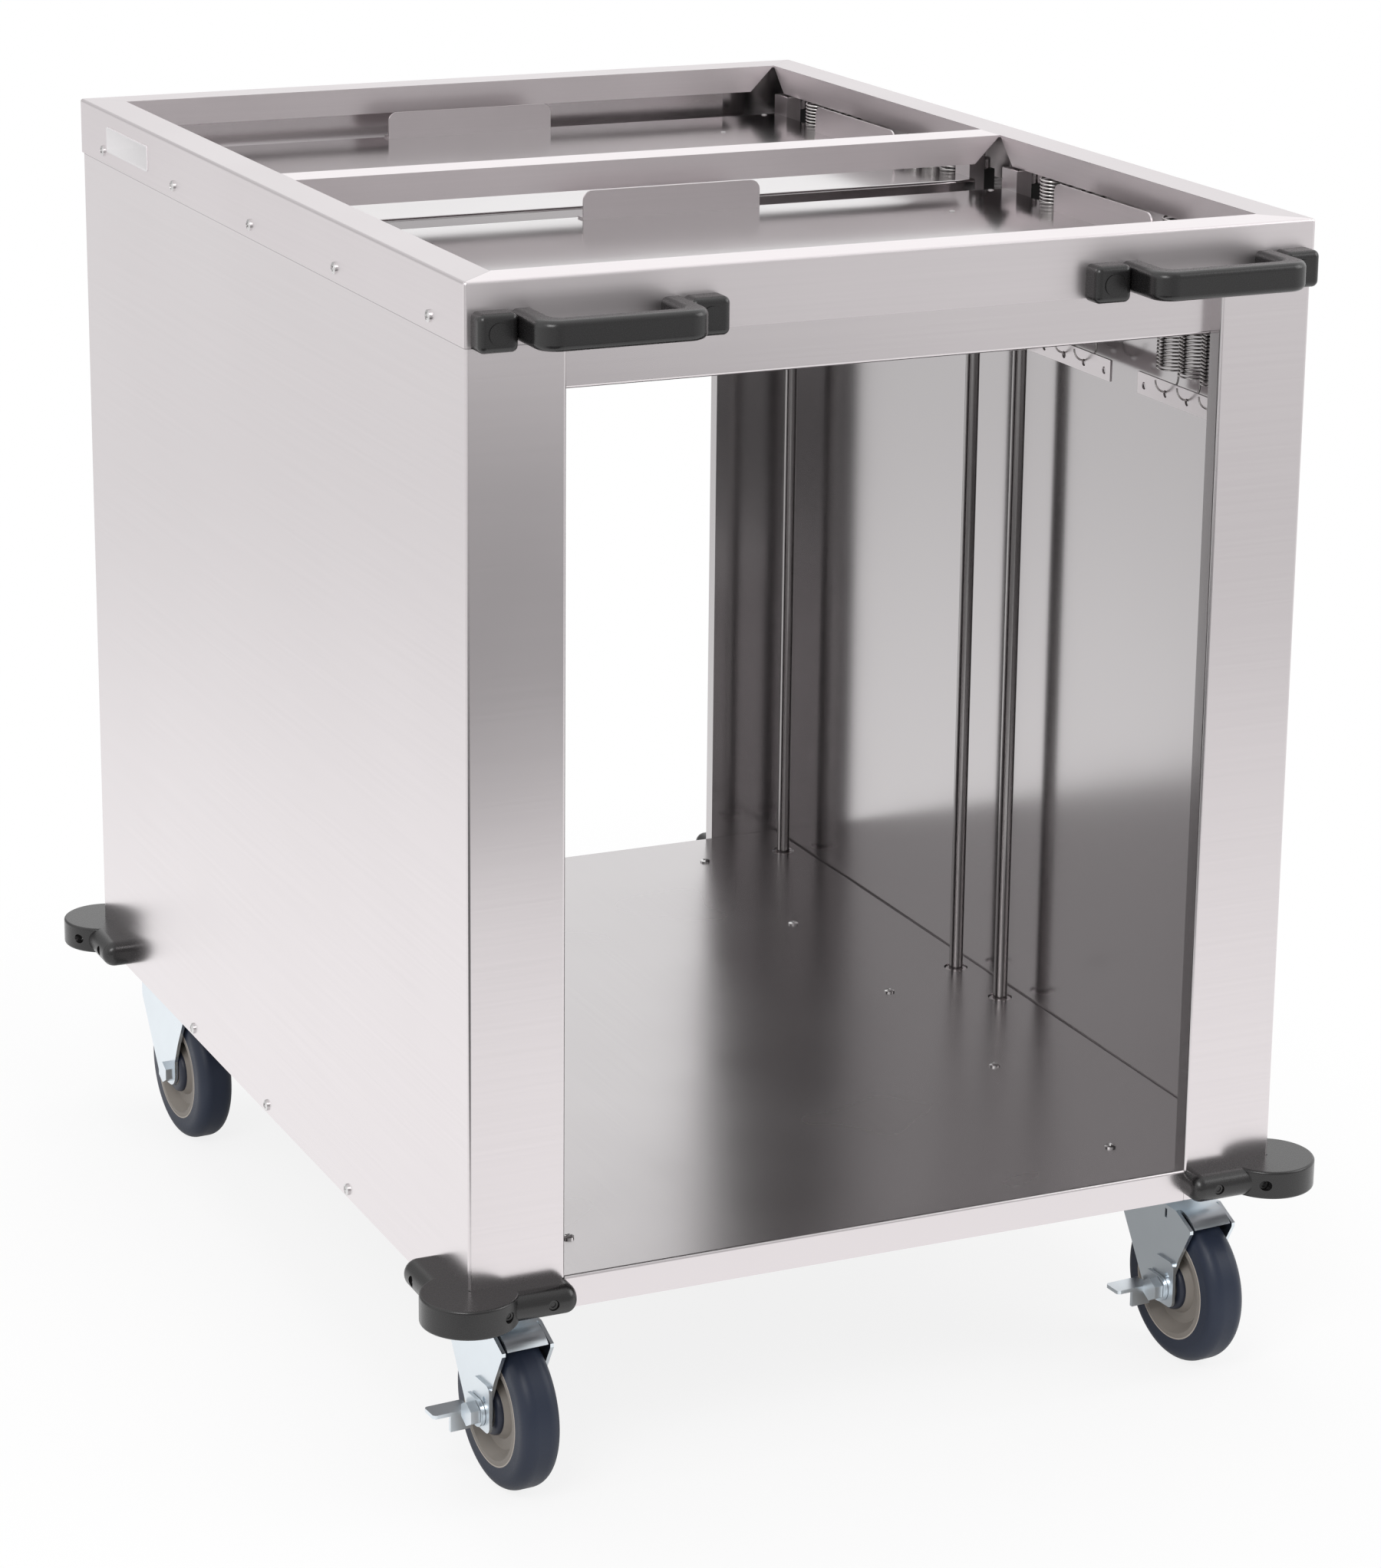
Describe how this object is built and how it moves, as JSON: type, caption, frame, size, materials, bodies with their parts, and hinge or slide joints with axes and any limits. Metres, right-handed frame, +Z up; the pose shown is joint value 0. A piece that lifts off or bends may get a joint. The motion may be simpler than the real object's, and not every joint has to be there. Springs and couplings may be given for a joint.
{
  "type": "tray dispenser",
  "caption": "Mobile open stainless steel tray dispenser: self-levelling spring-loaded tray platforms in a rimmed cabinet with push handles, corner bumpers and swivel casters.",
  "frame": {"origin": "on the floor, under the middle of the whole outline", "axes": "+Z up, +Y from the handles to the back, +X to the right, where the guide rods stand"},
  "size_m": [0.757, 1.0054, 0.936],
  "materials": {
    "stainless": "fine brushed stainless sheet",
    "rod_steel": "ground steel",
    "spring_steel": "bright drawn wire",
    "black_plastic": "moulded satin black",
    "bushing_plastic": "machined black plastic",
    "screw_steel": "bright screws",
    "plate_metal": "satin, blank",
    "zinc": "zinc plated pressings",
    "tyre": "dark slate tread",
    "hub_plastic": "taupe moulded hub"
  },
  "bodies": {
    "cabinet": {"top_frame": "stainless", "left_panel": "stainless", "right_panel": "stainless", "front_header": "stainless", "rear_header": "stainless", "deck": "stainless", "left_channel": "stainless", "right_channel": "stainless", "rod_collars": "rod_steel", "stop_rings": "rod_steel", "left_handle": "black_plastic", "right_handle": "black_plastic", "handle_caps": "black_plastic", "sheet_screws": "screw_steel", "name_plate": "plate_metal", "front_left_bumper": "black_plastic", "front_right_bumper": "black_plastic", "rear_left_bumper": "black_plastic", "rear_right_bumper": "black_plastic", "bumper_screws": "screw_steel", "front_guide_rods": "rod_steel", "rear_guide_rods": "rod_steel", "front_spring_hanger": "stainless", "rear_spring_hanger": "stainless", "front_springs": "spring_steel", "rear_springs": "spring_steel", "caster_plates": "zinc", "caster_bolts": "screw_steel"},
    "front_carrier": {"front_platform": "stainless", "front_posts": "stainless", "front_bushings": "bushing_plastic", "front_hook_strips": "stainless", "front_arms": "stainless", "front_tray_stops": "stainless"},
    "rear_carrier": {"rear_platform": "stainless", "rear_posts": "stainless", "rear_bushings": "bushing_plastic", "rear_hook_strips": "stainless", "rear_arms": "stainless", "rear_tray_stops": "stainless"},
    "front_left_swivel": {"front_left_fork": "zinc", "front_left_axle": "zinc", "front_left_brake_plate": "zinc"},
    "front_left_wheel": {"front_left_tyre": "tyre", "front_left_hub": "hub_plastic"},
    "front_left_brake": {"front_left_brake_lever": "zinc"},
    "front_right_swivel": {"front_right_fork": "zinc", "front_right_axle": "zinc", "front_right_brake_plate": "zinc"},
    "front_right_wheel": {"front_right_tyre": "tyre", "front_right_hub": "hub_plastic"},
    "front_right_brake": {"front_right_brake_lever": "zinc"},
    "rear_left_swivel": {"rear_left_fork": "zinc", "rear_left_axle": "zinc"},
    "rear_left_wheel": {"rear_left_tyre": "tyre", "rear_left_hub": "hub_plastic"},
    "rear_right_swivel": {"rear_right_fork": "zinc", "rear_right_axle": "zinc"},
    "rear_right_wheel": {"rear_right_tyre": "tyre", "rear_right_hub": "hub_plastic"}
  },
  "joints": [
    {"name": "front_carrier_slide", "type": "slide", "parent": "cabinet", "child": "front_carrier", "axis": [0, 0, 1], "range_m": [-0.56, 0], "stiffness_N_per_m": 840, "springref_m": 0.118, "deforming": ["front_springs"]},
    {"name": "rear_carrier_slide", "type": "slide", "parent": "cabinet", "child": "rear_carrier", "axis": [0, 0, 1], "range_m": [-0.56, 0], "stiffness_N_per_m": 840, "springref_m": 0.118, "deforming": ["rear_springs"]},
    {"name": "front_left_swivel_turn", "type": "hinge", "parent": "cabinet", "child": "front_left_swivel", "pos_m": [-0.295, -0.37275, 0.14], "axis": [0, 0, 1], "continuous": true},
    {"name": "front_left_wheel_roll", "type": "hinge", "parent": "front_left_swivel", "child": "front_left_wheel", "pos_m": [-0.29298, -0.40168, 0.0635], "axis": [0.9976, 0.0698, 0], "continuous": true},
    {"name": "front_left_brake_tilt", "type": "hinge", "parent": "front_left_swivel", "child": "front_left_brake", "pos_m": [-0.29298, -0.40168, 0.0635], "axis": [0.9976, 0.0698, 0], "range_deg": [-30, 0]},
    {"name": "front_right_swivel_turn", "type": "hinge", "parent": "cabinet", "child": "front_right_swivel", "pos_m": [0.295, -0.37275, 0.14], "axis": [0, 0, 1], "continuous": true},
    {"name": "front_right_wheel_roll", "type": "hinge", "parent": "front_right_swivel", "child": "front_right_wheel", "pos_m": [0.29702, -0.40168, 0.0635], "axis": [0.9976, 0.0698, 0], "continuous": true},
    {"name": "front_right_brake_tilt", "type": "hinge", "parent": "front_right_swivel", "child": "front_right_brake", "pos_m": [0.29702, -0.40168, 0.0635], "axis": [0.9976, 0.0698, 0], "range_deg": [-30, 0]},
    {"name": "rear_left_swivel_turn", "type": "hinge", "parent": "cabinet", "child": "rear_left_swivel", "pos_m": [-0.295, 0.39325, 0.14], "axis": [0, 0, 1], "continuous": true},
    {"name": "rear_left_wheel_roll", "type": "hinge", "parent": "rear_left_swivel", "child": "rear_left_wheel", "pos_m": [-0.29298, 0.36432, 0.0635], "axis": [0.9976, 0.0698, 0], "continuous": true},
    {"name": "rear_right_swivel_turn", "type": "hinge", "parent": "cabinet", "child": "rear_right_swivel", "pos_m": [0.295, 0.39325, 0.14], "axis": [0, 0, 1], "continuous": true},
    {"name": "rear_right_wheel_roll", "type": "hinge", "parent": "rear_right_swivel", "child": "rear_right_wheel", "pos_m": [0.29702, 0.36432, 0.0635], "axis": [0.9976, 0.0698, 0], "continuous": true}
  ]
}
